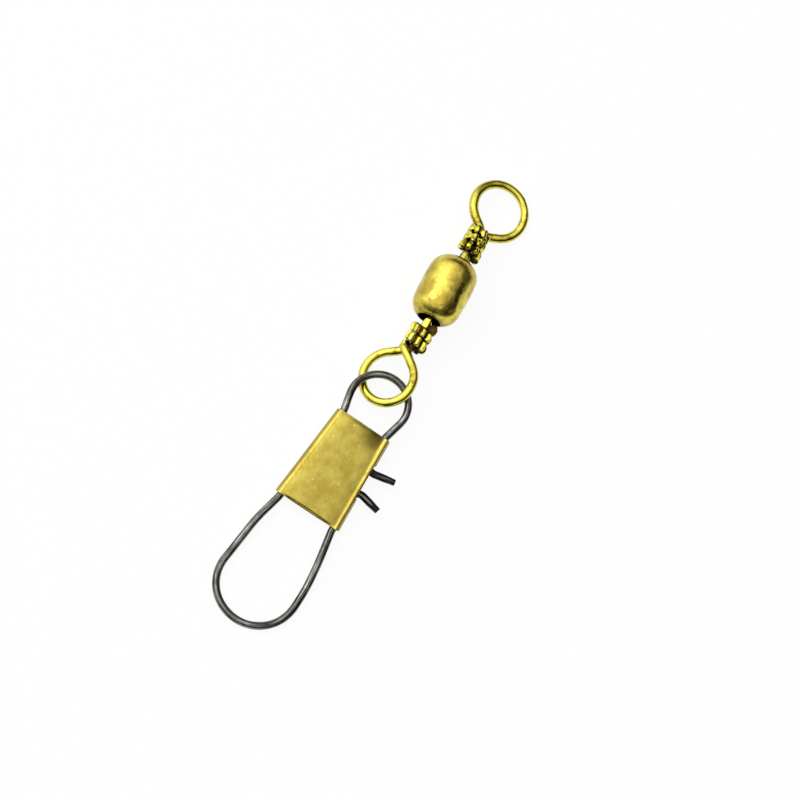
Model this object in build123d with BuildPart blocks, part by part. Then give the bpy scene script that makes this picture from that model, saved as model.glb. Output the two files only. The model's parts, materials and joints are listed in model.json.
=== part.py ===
from build123d import *
import math
import os

# A fishing barrel swivel with an interlock snap: a hollow swaged barrel with a wound wire eye in each end,
# and a one-wire snap, held shut by a folded sheet plate, that hangs on one of the eyes.
# Millimetres, +Z up. It lies on its side on the floor at z = 0, with the snap's length along X.

# ---- barrel ----
BARREL_D = 4.6            # over the belly
BARREL_L = 6.3            # between the rims of its two holes
BARREL_WALL = 0.45        # tube wall
BARREL_HOLE_D = 2.2       # opening left at each end
SHOULDER_R = 1.7          # roundness of each end
BELLY_R = 24.0            # slight swell along the side
BARREL_TURN = 5.2         # it lies at this angle to the snap, degrees

# ---- wire eyes ----
EYE_WIRE_D = 0.80         # brass wire
EYE_TURN = 3.0            # angle of both shanks to the snap, degrees; they are loose in the holes
RING_CLIMB = 0.61         # share of the height of the coil that the ring's last side has climbed as it ends
NECK_BEND_R = 0.90        # where the shank leaves its line for the ring
WRAP_GAP = 0.03           # between the wound wire and the shank that it is wound on
TURN_GAP = 0.02           # between one turn and the next
HEAD_OVER = 0.15          # the upset head is this much wider all round than the barrel's hole
HEAD_L = 0.75
HEAD_GAP = 0.15           # left between the head and the inside of the barrel's shoulder

SNAP_RING_R = 2.38        # centreline radius of the ring
SNAP_EYE_GAP = 0.34       # from the barrel's end to the coil
SNAP_EYE_TURNS = 3.0
SNAP_EYE_TAIL = 0.25      # cut end that stands off the coil
SNAP_EYE_COIL = 0.20      # from where the coil starts to the neck, where the wire turns away from the shank
SNAP_EYE_RING = 2.93      # from the neck to the ring's middle
SNAP_EYE_SIDE = 0.52      # the ring's middle lies this far to one side of the shank
LINE_EYE_OFF = 0.25       # its shank lies this far to one side in the barrel's hole
LINE_RING_R = 2.47
LINE_EYE_GAP = 0.60
LINE_EYE_TURNS = 3.0
LINE_EYE_TAIL = 0.45
LINE_EYE_COIL = 0.42
LINE_EYE_RING = 2.53
LINE_EYE_SIDE = 0.50
LINE_EYE_ROLL = 11.0      # how far the line's eye is turned on its shank, degrees

# ---- snap wire ----
SNAP_WIRE_D = 0.70        # steel wire
SMALL_R = 2.66            # centreline radius of the loop that hangs on the eye
SMALL_IN = 0.18           # its circle reaches this far in over the plate's edge
LARGE_R = 3.74            # centreline radius of the loop that takes a lure
LARGE_OUT = 3.99          # its circle starts this far out from the plate's edge
KNEE_GAP = 0.02           # each straight run goes this far past the plate before it bends for the small loop
KNEE_BEND_R = 0.9
ANKLE_X = 0.20            # and it bends for the large loop about a corner this far past the plate
ANKLE_BEND_R = 3.0
SPINE_BOW_X = 2.6         # this far past the plate, the closed side of the large loop bows out a little
SPINE_BOW = 0.20
GATE_BOW_X = 4.8          # and so does the side that opens
GATE_BOW = 0.30
STUB_BEND_R = 0.70        # where each end of the wire turns out through the fold
STUB_L = 2.1              # how far it stands out past the plate
STUB_TAPER_L = 1.1        # it is drawn down to a thinner tip over this length
STUB_TIP_D = 0.56
UPPER_STUB_X = 1.40
UPPER_STUB_LEAN = 11.5    # degrees towards the small loop
LOWER_STUB_X = -0.46
LOWER_STUB_LEAN = 12.6    # degrees towards the large loop

# ---- snap plate ----
PLATE_L = 9.42
PLATE_W_SMALL = 5.54      # at the small loop's end
PLATE_W_LARGE = 6.66      # at the large loop's end
SHEET_T = 0.20
FOLD_GAP = 0.02           # between the wire and the sheet rolled round it
DISH_Z = 0.12             # outer face of the dished middle above the wire's plane
SPINE_SLOPE = 13.0        # degrees, long slope beside the closed side
GATE_SLOPE = 38.0         # degrees, short slope beside the side that opens
SPINE_LIP = 1.1           # sheet carried on along the back
GATE_LIP = 0.9
FOOT_L = 0.3              # each side's section carries on this far as flat middle
FOOT_OVERLAP = 0.15       # and the middle sheet runs this far into it
PLATE_TRIM = 0.5          # each side is rolled this much too long, and cut square at both ends of the plate
WINDOW_GAP = 0.12         # beside the wire's ends where they leave the fold

# ---- fits between pieces ----
LINK_SLACK = 1.79         # how far the eye's ring is pushed into the snap's small loop from a taut pull
LINK_Y = 0.53             # and how far the ring's middle lies to the snap's closed side
LINK_GAP = 0.08           # between the two where they cross
LINK_SLANT = 1.07         # they cross aslant, so they need this much more height
LINK_RISE = 0.31          # share of its climb that the eye's ring has made on average where they cross
FLOOR_GAP = 0.02          # below the eyes' rings

RING_ARCS = 6             # arcs that join into an eye's ring
LOOP_ARCS = 5             # arcs that join into a loop of the snap
TURN_ARCS = 8             # arcs that join into one turn of a coil

BARREL_R = BARREL_D / 2
HOLE_R = BARREL_HOLE_D / 2
EYE_R = EYE_WIRE_D / 2
SNAP_R = SNAP_WIRE_D / 2
WRAP_R = EYE_WIRE_D + WRAP_GAP
WRAP_PITCH = EYE_WIRE_D + TURN_GAP
RING_RISE = RING_CLIMB * WRAP_R
HEAD_R = HOLE_R + HEAD_OVER

# ---- places along the length, from the middle of the plate ----
half_l = PLATE_L / 2
small_x = half_l + SMALL_R - SMALL_IN
large_x = -half_l - LARGE_OUT - LARGE_R
# each eye's neck and ring are measured from its end of the barrel
snap_neck_x = SNAP_EYE_GAP + EYE_R + SNAP_EYE_TURNS * WRAP_PITCH + SNAP_EYE_COIL
snap_ring_x = snap_neck_x + SNAP_EYE_RING
line_neck_x = LINE_EYE_GAP + EYE_R + LINE_EYE_TURNS * WRAP_PITCH + LINE_EYE_COIL
line_ring_x = line_neck_x + LINE_EYE_RING
link_x = small_x + SMALL_R - SNAP_R + SNAP_RING_R - EYE_R - LINK_SLACK


def circles_meet(a, a_r, b, b_r, side):
    """Where two circles cross, to the left of the line from a to b for side 1 and to the right for -1."""
    way = (b - a).normalized()
    between = (b - a).length
    along = (a_r**2 - b_r**2 + between**2) / (2 * between)
    off = math.sqrt(a_r**2 - along**2)
    return a + way * along + Vector(-way.Y, way.X) * (side * off)


def short_arc(centre, start, end):
    """Draws the short arc round a centre from start to end."""
    outward = (start + end - centre * 2).normalized()
    ThreePointArc(start, centre + outward * (start - centre).length, end)


def bent_wire(plane, corners, radii):
    """Draws a wire's centreline, bent at each inner corner. A radius of None is as round as it can be."""
    points = [plane.from_local_coords(Vector(*corner)) for corner in corners]
    start = points[0]
    for before, corner, after, radius in zip(points, points[1:], points[2:], radii):
        into = (corner - before).normalized()
        out = (after - corner).normalized()
        half_turn = math.radians(into.get_angle(out)) / 2
        if radius is None:
            reach = min((corner - before).length, (after - corner).length) / 2
            radius = reach / math.tan(half_turn)
        else:
            reach = radius * math.tan(half_turn)
        bend_start = corner - into * reach
        bend_end = corner + out * reach
        bulge = radius * (1 / math.cos(half_turn) - 1)
        middle = corner + (out - into).normalized() * bulge
        if (bend_start - start).length > 0.01:
            Line(start, bend_start)
        else:
            bend_start = start
        ThreePointArc(bend_start, middle, bend_end)
        start = bend_end
    Line(start, points[-1])


def round_corners(middle_x, middle_y, radius, first, last, count):
    """Corners whose bends join into one arc of this radius between two angles in degrees."""
    half = (last - first) / count / 2
    reach = radius / math.cos(math.radians(half))
    angles = [math.radians(first + half * (2 * step + 1)) for step in range(count)]
    return [(middle_x + reach * math.cos(a), middle_y + reach * math.sin(a)) for a in angles]


# ---- how it comes to rest ----
def let_down(ring_x, ring_side, ring_r, roll):
    """Angle by which an eye droops from the barrel's end until its ring just clears the floor."""
    low = 0.0
    high = math.radians(30)
    for _ in range(40):
        droop = (low + high) / 2
        lean = math.sin(roll) * math.cos(droop)
        middle_z = BARREL_R - ring_x * math.sin(droop) - ring_side * lean
        if middle_z - ring_r * math.hypot(math.sin(droop), lean) - EYE_R > FLOOR_GAP:
            low = droop
        else:
            high = droop
    return low


def eye_plane(end, outward, droop, roll):
    """Workplane of an eye: x out along its shank from the middle of the barrel's end, y across its ring."""
    along = Vector(outward * math.cos(droop), 0, -math.sin(droop))
    normal = Vector(
        outward * math.sin(droop) * math.cos(roll),
        -outward * math.sin(roll),
        math.cos(droop) * math.cos(roll),
    )
    return Plane(
        origin=end,
        x_dir=along.rotate(Axis.Z, EYE_TURN),
        z_dir=normal.rotate(Axis.Z, EYE_TURN),
    )


# The eye is turned on its shank, so that one side of its ring goes under the snap's wire and one over it.
ring_middle = Vector(link_x, LINK_Y)
loop_middle = Vector(small_x, 0)
crossings = [circles_meet(ring_middle, SNAP_RING_R, loop_middle, SMALL_R, side) for side in (-1, 1)]
link = (crossings[0] + crossings[1]) / 2
half_chord = (crossings[0] - crossings[1]).length / 2
link_lift = LINK_SLANT * (EYE_R + SNAP_R + LINK_GAP)
link_rise = LINK_RISE * RING_RISE
snap_eye_roll = math.atan((link_lift - link_rise) / half_chord)
snap_eye_droop = let_down(snap_ring_x, SNAP_EYE_SIDE, SNAP_RING_R, snap_eye_roll)
line_eye_roll = math.radians(LINE_EYE_ROLL)
line_eye_droop = let_down(line_ring_x, LINE_EYE_SIDE, LINE_RING_R, line_eye_roll)

# the barrel goes where its end lets the eye reach the link
unplaced = eye_plane((0, 0, BARREL_R), -1, snap_eye_droop, snap_eye_roll)
reach = unplaced.from_local_coords((snap_ring_x, -SNAP_EYE_SIDE, 0))
barrel_way = Vector(1, 0, 0).rotate(Axis.Z, BARREL_TURN)
barrel_across = Vector(0, 1, 0).rotate(Axis.Z, BARREL_TURN)
near_end = Vector(link_x - reach.X, LINK_Y - reach.Y, BARREL_R)
barrel_middle = near_end + barrel_way * (BARREL_L / 2)
far_end = near_end + barrel_way * BARREL_L
snap_eye_at = eye_plane(near_end, -1, snap_eye_droop, snap_eye_roll)
line_hole = far_end - barrel_across * LINE_EYE_OFF
line_eye_at = eye_plane(line_hole, 1, line_eye_droop, line_eye_roll)

# The snap rests on the end of its large loop, with its small loop lifted between the two sides of the eye.
up = snap_eye_at.z_dir
link_z = BARREL_R - (link - near_end).dot(Vector(up.X, up.Y)) / up.Z + link_rise
large_end = large_x - LARGE_R
snap_tilt = math.asin((link_z - SNAP_R) / (link.X - large_end))
snap_at = Plane(
    origin=(0, 0, SNAP_R - large_end * math.sin(snap_tilt)),
    x_dir=(math.cos(snap_tilt), 0, math.sin(snap_tilt)),
    z_dir=(-math.sin(snap_tilt), 0, math.cos(snap_tilt)),
)

# ---- barrel: one tube swaged in at both ends, hollow, with a hole at each end ----
rim = Vector(-BARREL_L / 2, HOLE_R)
belly_middle = Vector(0, BARREL_R - BELLY_R)
shoulder = circles_meet(rim, SHOULDER_R, belly_middle, BELLY_R - SHOULDER_R, 1)
inner_r = SHOULDER_R - BARREL_WALL
to_joint = (shoulder - belly_middle).normalized()
joint = belly_middle + to_joint * BELLY_R
inner_joint = belly_middle + to_joint * (BELLY_R - BARREL_WALL)
inner_rim = Vector(shoulder.X - math.sqrt(inner_r**2 - (HOLE_R - shoulder.Y) ** 2), HOLE_R)
belly_top = Vector(0, BARREL_R)
belly_low = Vector(0, BARREL_R - BARREL_WALL)
upright = Plane(origin=barrel_middle, x_dir=barrel_way, z_dir=-barrel_across)

with BuildPart() as barrel:
    with BuildSketch(upright):
        with BuildLine():
            short_arc(belly_middle, belly_low, inner_joint)
            short_arc(shoulder, inner_joint, inner_rim)
            Line(inner_rim, rim)
            short_arc(shoulder, rim, joint)
            short_arc(belly_middle, joint, belly_top)
            mirror(about=Plane.YZ)
        make_face()
    revolve(axis=Axis(barrel_middle, barrel_way))


# ---- eyes: each one wire, headed inside the barrel, bent into a ring and wound back down its own shank ----
def head_depth(droop, off=0):
    """How far in from the barrel's end a drooping shank's head clears the inside of the shoulder."""
    way = Vector(math.cos(droop), math.sin(droop))
    rim_at = Vector(-BARREL_L / 2, 0) + Vector(-way.Y, way.X) * (HEAD_R + off) - shoulder
    deepest = -rim_at.dot(way)
    spare = deepest**2 - rim_at.dot(rim_at) + (inner_r - HEAD_GAP) ** 2
    return deepest - math.sqrt(max(0, spare))


def touch_angle(x, y, middle_x, middle_y, radius, side):
    """Angle round a loop, in degrees, at which a straight run from a point touches it."""
    away = math.hypot(x - middle_x, y - middle_y)
    toward = math.degrees(math.atan2(y - middle_y, x - middle_x))
    return toward + side * math.degrees(math.acos(radius / away))


def eye_corners(head_in, ring_x, ring_side, ring_r, neck_x, coil_in, turns, tail):
    """Corners and bend radii of an eye's wire: out of the barrel, round the ring and back as a coil."""
    first = touch_angle(neck_x, 0, ring_x, -ring_side, ring_r, 1) - 360
    last = touch_angle(neck_x, 0, ring_x, -ring_side, ring_r, -1)
    ring = round_corners(ring_x, -ring_side, ring_r, first, last, RING_ARCS)
    corners = [(-head_in - HEAD_L / 2, 0, 0), (neck_x, 0, 0)]
    for step, (x, y) in enumerate(ring):
        climbed = max(0, 2 * (step + 1) / RING_ARCS - 1)
        corners.append((x, y, RING_RISE * climbed**1.4))
    step_turn = 360 / TURN_ARCS
    coil_r = WRAP_R / math.cos(math.radians(step_turn / 2))
    coil_x = neck_x - coil_in
    for step in range(-1, round(turns * TURN_ARCS) + 1):
        turn = step_turn * (step + 0.5)
        a = math.radians(turn)
        corners.append((coil_x - WRAP_PITCH * turn / 360, -coil_r * math.sin(a), coil_r * math.cos(a)))
    last = Vector(*corners[-2])
    way = (Vector(*corners[-1]) - last).normalized()
    bend_reach = (last - Vector(*corners[-3])).length / 2
    corners[-1] = tuple(last + way * (bend_reach + tail))
    return corners, [NECK_BEND_R] + [None] * (len(corners) - 3)


def wind_eye(at, head_in, ring_x, ring_side, ring_r, neck_x, coil_in, turns, tail):
    """Adds one whole eye to the part being built."""
    corners, radii = eye_corners(head_in, ring_x, ring_side, ring_r, neck_x, coil_in, turns, tail)
    across = Plane(origin=at.origin, x_dir=at.y_dir, z_dir=at.x_dir)
    with BuildLine() as run:
        bent_wire(at, corners, radii)
    path = run.wire()
    with BuildSketch(Plane(origin=path @ 0, z_dir=path % 0)) as wire_section:
        Circle(EYE_R)
    sweep(wire_section.sketch, path=path)
    with BuildSketch(across.offset(-head_in - HEAD_L)) as head_section:
        Circle(HEAD_R)
    extrude(head_section.sketch, amount=HEAD_L)


with BuildPart() as snap_eye:
    wind_eye(
        snap_eye_at,
        head_depth(snap_eye_droop),
        snap_ring_x,
        SNAP_EYE_SIDE,
        SNAP_RING_R,
        snap_neck_x,
        SNAP_EYE_COIL,
        SNAP_EYE_TURNS,
        SNAP_EYE_TAIL,
    )

with BuildPart() as line_eye:
    wind_eye(
        line_eye_at,
        head_depth(line_eye_droop, LINE_EYE_OFF),
        line_ring_x,
        LINE_EYE_SIDE,
        LINE_RING_R,
        line_neck_x,
        LINE_EYE_COIL,
        LINE_EYE_TURNS,
        LINE_EYE_TAIL,
    )

# ---- snap wire: one wire from end to end through the small loop, the closed side and the large loop ----
fold_in = SNAP_R + FOLD_GAP
fold_out = fold_in + SHEET_T
taper = (PLATE_W_LARGE - PLATE_W_SMALL) / 2 / PLATE_L
taper_a = math.atan(taper)
ankle_x = -half_l - ANKLE_X


def run_y(x):
    """Distance of each straight run of wire from the snap's middle line."""
    return PLATE_W_SMALL / 2 - fold_out + (half_l - x) * taper


def stub(x, lean):
    """Bend and end of one of the wire's ends, which leans along the snap as it stands out."""
    out = fold_out + STUB_L - STUB_TAPER_L
    return (x, -run_y(x)), (x + out * math.tan(math.radians(lean)), -run_y(x) - out)


# the knee's bend has to start past the plate, and how far the bend reaches depends on where the knee is
knee_x = half_l + KNEE_GAP
for _ in range(20):
    small_spine = touch_angle(knee_x, run_y(knee_x), small_x, 0, SMALL_R, -1)
    knee_turn = math.radians(small_spine - 90) + taper_a
    knee_x = half_l + KNEE_GAP + KNEE_BEND_R * math.tan(knee_turn / 2)

splay = math.tan(math.radians(90 - touch_angle(ankle_x, run_y(ankle_x), large_x, 0, LARGE_R, 1)))
spine_bow_x = -half_l - SPINE_BOW_X
spine_bow_y = run_y(ankle_x) + (ankle_x - spine_bow_x) * splay + SPINE_BOW
large_spine = touch_angle(spine_bow_x, spine_bow_y, large_x, 0, LARGE_R, 1)
gate_bow_x = -half_l - GATE_BOW_X
gate_bow_y = -run_y(ankle_x) - (ankle_x - gate_bow_x) * splay - GATE_BOW
large_gate = touch_angle(gate_bow_x, gate_bow_y, large_x, 0, LARGE_R, -1) + 360
upper_bend, upper_end = stub(UPPER_STUB_X, UPPER_STUB_LEAN)
lower_bend, lower_end = stub(LOWER_STUB_X, -LOWER_STUB_LEAN)
snap_corners = [
    upper_end,
    upper_bend,
    (knee_x, -run_y(knee_x)),
    *round_corners(small_x, 0, SMALL_R, -small_spine, small_spine, LOOP_ARCS),
    (knee_x, run_y(knee_x)),
    (ankle_x, run_y(ankle_x)),
    (spine_bow_x, spine_bow_y),
    *round_corners(large_x, 0, LARGE_R, large_spine, large_gate, LOOP_ARCS),
    (gate_bow_x, gate_bow_y),
    (ankle_x, -run_y(ankle_x)),
    lower_bend,
    lower_end,
]
round_loop = [None] * LOOP_ARCS
snap_radii = [STUB_BEND_R, KNEE_BEND_R, *round_loop, KNEE_BEND_R]
snap_radii += [ANKLE_BEND_R, None, *round_loop, None, ANKLE_BEND_R, STUB_BEND_R]

with BuildPart() as snap_wire:
    with BuildLine() as snap_run:
        bent_wire(snap_at, [(x, y, 0) for x, y in snap_corners], snap_radii)
    snap_path = snap_run.wire()
    with BuildSketch(Plane(origin=snap_path @ 0, z_dir=snap_path % 0)):
        Circle(SNAP_R)
    sweep(path=snap_path)
    for tip, onward in ((snap_path @ 0, -(snap_path % 0)), (snap_path @ 1, snap_path % 1)):
        with BuildSketch(Plane(origin=tip, z_dir=onward)):
            Circle(SNAP_R)
        with BuildSketch(Plane(origin=tip + onward * STUB_TAPER_L, z_dir=onward)):
            Circle(STUB_TIP_D / 2)
        loft()


# ---- snap plate: one sheet, dished in the middle and rolled round both straight runs of the wire ----
def roll_side(way, slope, lip):
    """Adds one rolled side: lip along the back, roll round the wire, slope down to the dished middle."""
    outward = snap_at.y_dir * (way * math.cos(taper_a)) + snap_at.x_dir * math.sin(taper_a)
    across = Plane(
        origin=snap_at.from_local_coords((0, way * run_y(0), 0)),
        x_dir=outward,
        z_dir=outward.cross(snap_at.z_dir),
    )
    a = math.radians(slope)
    top_out = (-fold_out * math.sin(a), fold_out * math.cos(a))
    top_in = (-fold_in * math.sin(a), fold_in * math.cos(a))
    dish_out = (top_out[0] - (top_out[1] - DISH_Z) / math.tan(a), DISH_Z)
    dish_in = (top_in[0] - (top_in[1] - DISH_Z + SHEET_T) / math.tan(a), DISH_Z - SHEET_T)
    foot_x = min(dish_out[0], dish_in[0]) - FOOT_L
    with BuildSketch(across) as section:
        with BuildLine():
            Polyline((0, -fold_out), (-lip, -fold_out), (-lip, -fold_in), (0, -fold_in))
            ThreePointArc((0, -fold_in), (fold_in, 0), top_in)
            Polyline(top_in, dish_in, (foot_x, DISH_Z - SHEET_T), (foot_x, DISH_Z), dish_out, top_out)
            ThreePointArc(top_out, (fold_out, 0), (0, -fold_out))
        make_face()
    extrude(section.sketch, amount=half_l + PLATE_TRIM, both=True)
    return way * (run_y(0) + foot_x)


# one window in the fold lets both ends of the wire out
window_high = UPPER_STUB_X + STUB_BEND_R + WINDOW_GAP
window_low = LOWER_STUB_X - STUB_BEND_R - WINDOW_GAP
window_x = (window_high + window_low) / 2
window_h = SNAP_WIRE_D + FOLD_GAP
window_at = Location((window_x, -run_y(window_x) - fold_out, 0), (0, 0, math.degrees(taper_a)))

with BuildPart() as snap_plate:
    spine_foot = roll_side(1, SPINE_SLOPE, SPINE_LIP) + FOOT_OVERLAP
    gate_foot = roll_side(-1, GATE_SLOPE, GATE_LIP) - FOOT_OVERLAP
    with BuildSketch(snap_at.offset(DISH_Z - SHEET_T)):
        Polygon(
            (half_l, spine_foot - half_l * taper),
            (half_l, gate_foot + half_l * taper),
            (-half_l, gate_foot - half_l * taper),
            (-half_l, spine_foot + half_l * taper),
            align=None,
        )
    extrude(amount=SHEET_T)
    with Locations(snap_at):
        Box(PLATE_L, 2 * PLATE_W_LARGE, 4 * fold_out, mode=Mode.INTERSECT)
    with Locations(snap_at * window_at):
        Box(window_high - window_low, 2 * fold_out, window_h, mode=Mode.SUBTRACT)

# ---- the origin goes to the middle of the whole thing's box, on the floor ----
pieces = [barrel, line_eye, snap_eye, snap_wire, snap_plate]
boxes = [piece.part.bounding_box() for piece in pieces]
middle_x = (min(box.min.X for box in boxes) + max(box.max.X for box in boxes)) / 2
middle_y = (min(box.min.Y for box in boxes) + max(box.max.Y for box in boxes)) / 2
home = Location((-middle_x, -middle_y, -min(box.min.Z for box in boxes)))
for piece in pieces:
    piece.part = piece.part.moved(home)

os.makedirs("parts", exist_ok=True)
barrel.part.label = "barrel"
export_step(barrel.part, "parts/barrel.step")
line_eye.part.label = "line_eye"
export_step(line_eye.part, "parts/line_eye.step")
snap_eye.part.label = "snap_eye"
export_step(snap_eye.part, "parts/snap_eye.step")
snap_wire.part.label = "snap_wire"
export_step(snap_wire.part, "parts/snap_wire.step")
snap_plate.part.label = "snap_plate"
export_step(snap_plate.part, "parts/snap_plate.step")
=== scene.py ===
# A brass snap swivel lying on a white ground, seen from above. Lengths in the shapes below are millimetres.
import json
import math
from collections import namedtuple

import bmesh
import bpy
from mathutils import Matrix, Quaternion, Vector, noise


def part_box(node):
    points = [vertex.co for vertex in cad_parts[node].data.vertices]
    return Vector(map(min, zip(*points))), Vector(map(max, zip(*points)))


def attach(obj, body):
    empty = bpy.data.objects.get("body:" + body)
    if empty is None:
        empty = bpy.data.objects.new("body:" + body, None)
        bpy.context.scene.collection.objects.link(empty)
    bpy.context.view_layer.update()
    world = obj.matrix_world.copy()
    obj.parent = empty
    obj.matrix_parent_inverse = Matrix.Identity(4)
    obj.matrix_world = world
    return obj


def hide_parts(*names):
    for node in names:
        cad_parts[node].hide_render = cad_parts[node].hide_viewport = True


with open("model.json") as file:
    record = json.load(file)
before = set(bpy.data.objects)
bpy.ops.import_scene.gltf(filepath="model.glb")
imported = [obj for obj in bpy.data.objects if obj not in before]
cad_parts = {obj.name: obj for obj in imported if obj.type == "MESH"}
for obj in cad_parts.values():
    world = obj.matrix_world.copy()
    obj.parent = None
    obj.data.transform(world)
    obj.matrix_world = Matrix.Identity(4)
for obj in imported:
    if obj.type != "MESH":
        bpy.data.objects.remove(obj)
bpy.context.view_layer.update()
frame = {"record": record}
joints = {j["name"]: j for j in frame["record"]["behaviour"]["joints"]}
mounts = {m["name"]: m for m in frame["record"]["mounts"]}
MM = 0.001


# ---- camera ----

VIEW_TILT = math.radians(17.5)          # from straight down, towards the snap's end
VIEW_TURN = math.radians(56.45)         # how far the snap's line stands up in the picture
FRAME_WIDTH = 0.0711                    # what the picture's width covers at the object
LENS = 200.0
SENSOR = 36.0
LOOK_AT = Vector((0.0011822, -0.000866, 0.00105))


def make_camera():
    data = bpy.data.cameras.new("Camera")
    data.lens = LENS
    data.sensor_width = SENSOR
    back = Vector((-math.sin(VIEW_TILT), 0.0, math.cos(VIEW_TILT)))
    ahead = Vector((math.cos(VIEW_TILT), 0.0, math.sin(VIEW_TILT)))
    side = Vector((0.0, -1.0, 0.0))
    right = ahead * math.cos(VIEW_TURN) + side * math.sin(VIEW_TURN)
    up = back.cross(right)
    far = FRAME_WIDTH * LENS / SENSOR
    camera = bpy.data.objects.new("Camera", data)
    bpy.context.scene.collection.objects.link(camera)
    turn = Matrix((right, up, back)).transposed().to_4x4()
    camera.matrix_world = Matrix.Translation(LOOK_AT + back * far) @ turn
    data.clip_start = far * 0.01
    data.clip_end = far * 100
    bpy.context.scene.camera = camera


make_camera()


# ---- wires: bent paths and round sections ----

def bend(corners, radii, step):
    """Evenly spaced points along a wire that is bent at each inner corner."""
    given = [Vector(c) for c in corners]
    points = [given[0]]
    for before, corner, after, radius in zip(given, given[1:], given[2:], radii):
        into = (corner - before).normalized()
        onward = (after - corner).normalized()
        half = into.angle(onward) / 2
        if radius is None:
            reach = min((corner - before).length, (after - corner).length) / 2
            radius = reach / math.tan(half)
        reach = radius * math.tan(half)
        middle = corner + (onward - into).normalized() * (radius / math.cos(half))
        start = corner - into * reach - middle
        axis = into.cross(onward).normalized()
        count = max(2, math.ceil(2 * half * radius / step))
        for k in range(count + 1):
            points.append(middle + Quaternion(axis, 2 * half * k / count) @ start)
    points.append(given[-1])
    return even(points, step)


def even(points, step):
    """The same line with its points the same distance apart."""
    lengths = [0.0]
    for a, b in zip(points, points[1:]):
        lengths.append(lengths[-1] + (b - a).length)
    count = max(2, round(lengths[-1] / step))
    out = []
    at = 0
    for k in range(count + 1):
        want = lengths[-1] * k / count
        while at < len(points) - 2 and lengths[at + 1] < want:
            at += 1
        span = lengths[at + 1] - lengths[at]
        share = (want - lengths[at]) / span if span > 1e-9 else 0.0
        out.append(points[at].lerp(points[at + 1], min(1.0, share)))
    return out


def round_corners(middle_x, middle_y, radius, first, last, count):
    """Corners that bend() turns into an arc of this radius between two angles."""
    half = (last - first) / count / 2
    reach = radius / math.cos(half)
    turns = [first + half * (2 * k + 1) for k in range(count)]
    return [(middle_x + reach * math.cos(t), middle_y + reach * math.sin(t)) for t in turns]


def touch_angle(x, y, middle_x, middle_y, radius, side):
    """Where on a circle the line from a point touches it, on the side asked for."""
    away = math.hypot(x - middle_x, y - middle_y)
    return math.atan2(y - middle_y, x - middle_x) + side * math.acos(radius / away)


def smooth_step(low, high, value):
    """0 up to low, 1 from high, smooth between them. It falls where low is the larger."""
    t = min(1.0, max(0.0, (value - low) / (high - low)))
    return t * t * (3 - 2 * t)


def make_object(name, verts, faces, place, body, node, material, sharp, painted_shade, run=None):
    """A mesh in millimetres of its own frame, put into place and hung on its body."""
    mesh = bpy.data.meshes.new(name)
    mesh.from_pydata([place @ (v * MM) for v in verts], [], faces)
    layer = mesh.attributes.new("painted_shade", "FLOAT", "POINT")
    layer.data.foreach_set("value", painted_shade)
    if run:
        layer = mesh.attributes.new("run", "FLOAT_VECTOR", "POINT")
        layer.data.foreach_set("vector", [c for v in run for c in v])
    mesh.update()
    b = bmesh.new()
    b.from_mesh(mesh)
    bmesh.ops.recalc_face_normals(b, faces=b.faces)
    b.to_mesh(mesh)
    b.free()
    for p in mesh.polygons:
        p.use_smooth = True
    mesh.set_sharp_from_angle(angle=math.radians(sharp))
    piece = bpy.data.objects.new(name, mesh)
    bpy.context.scene.collection.objects.link(piece)
    mesh.materials.append(material)
    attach(piece, body)
    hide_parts(node)


def tube(points, radius_at, sides, cut):
    """Vertices and faces of a round wire with rounded ends, and each vertex's place along and around it."""
    last = len(points) - 1
    step = (points[1] - points[0]).length
    verts = []
    run = []
    way = (points[1] - points[0]).normalized()
    across = way.orthogonal().normalized()
    rings = []
    for k, p in enumerate(points):
        onward = (points[min(k + 1, last)] - points[max(k - 1, 0)]).normalized()
        across = (way.rotation_difference(onward) @ across).normalized()
        way = onward
        radius = radius_at(k / last, p)
        if k == 0:
            rings.append((p - way * cut, across, way, radius - cut))
        rings.append((p, across, way, radius))
        if k == last:
            rings.append((p + way * cut, across, way, radius - cut))
    for p, across, way, radius in rings:
        other = way.cross(across)
        for s in range(sides):
            a = 2 * math.pi * s / sides
            verts.append(p + (across * math.cos(a) + other * math.sin(a)) * radius)
            run.append((len(verts) // sides * step, math.cos(a) * radius, math.sin(a) * radius))
    faces = []
    for k in range(len(rings) - 1):
        for s in range(sides):
            t = (s + 1) % sides
            faces.append((k * sides + s, k * sides + t, (k + 1) * sides + t, (k + 1) * sides + s))
    for k in (0, len(rings) - 1):
        verts.append(rings[k][0].copy())
        run.append((k * step, 0.0, 0.0))
        for s in range(sides):
            faces.append((k * sides + s, k * sides + (s + 1) % sides, len(verts) - 1))
    return verts, faces, run


# ---- materials ----

def rgb(*levels):
    """A colour given as it looks on a screen, each level out of 255."""
    shares = [level / 255 for level in levels]
    return tuple(s / 12.92 if s <= 0.04045 else ((s + 0.055) / 1.055) ** 2.4 for s in shares)


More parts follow.
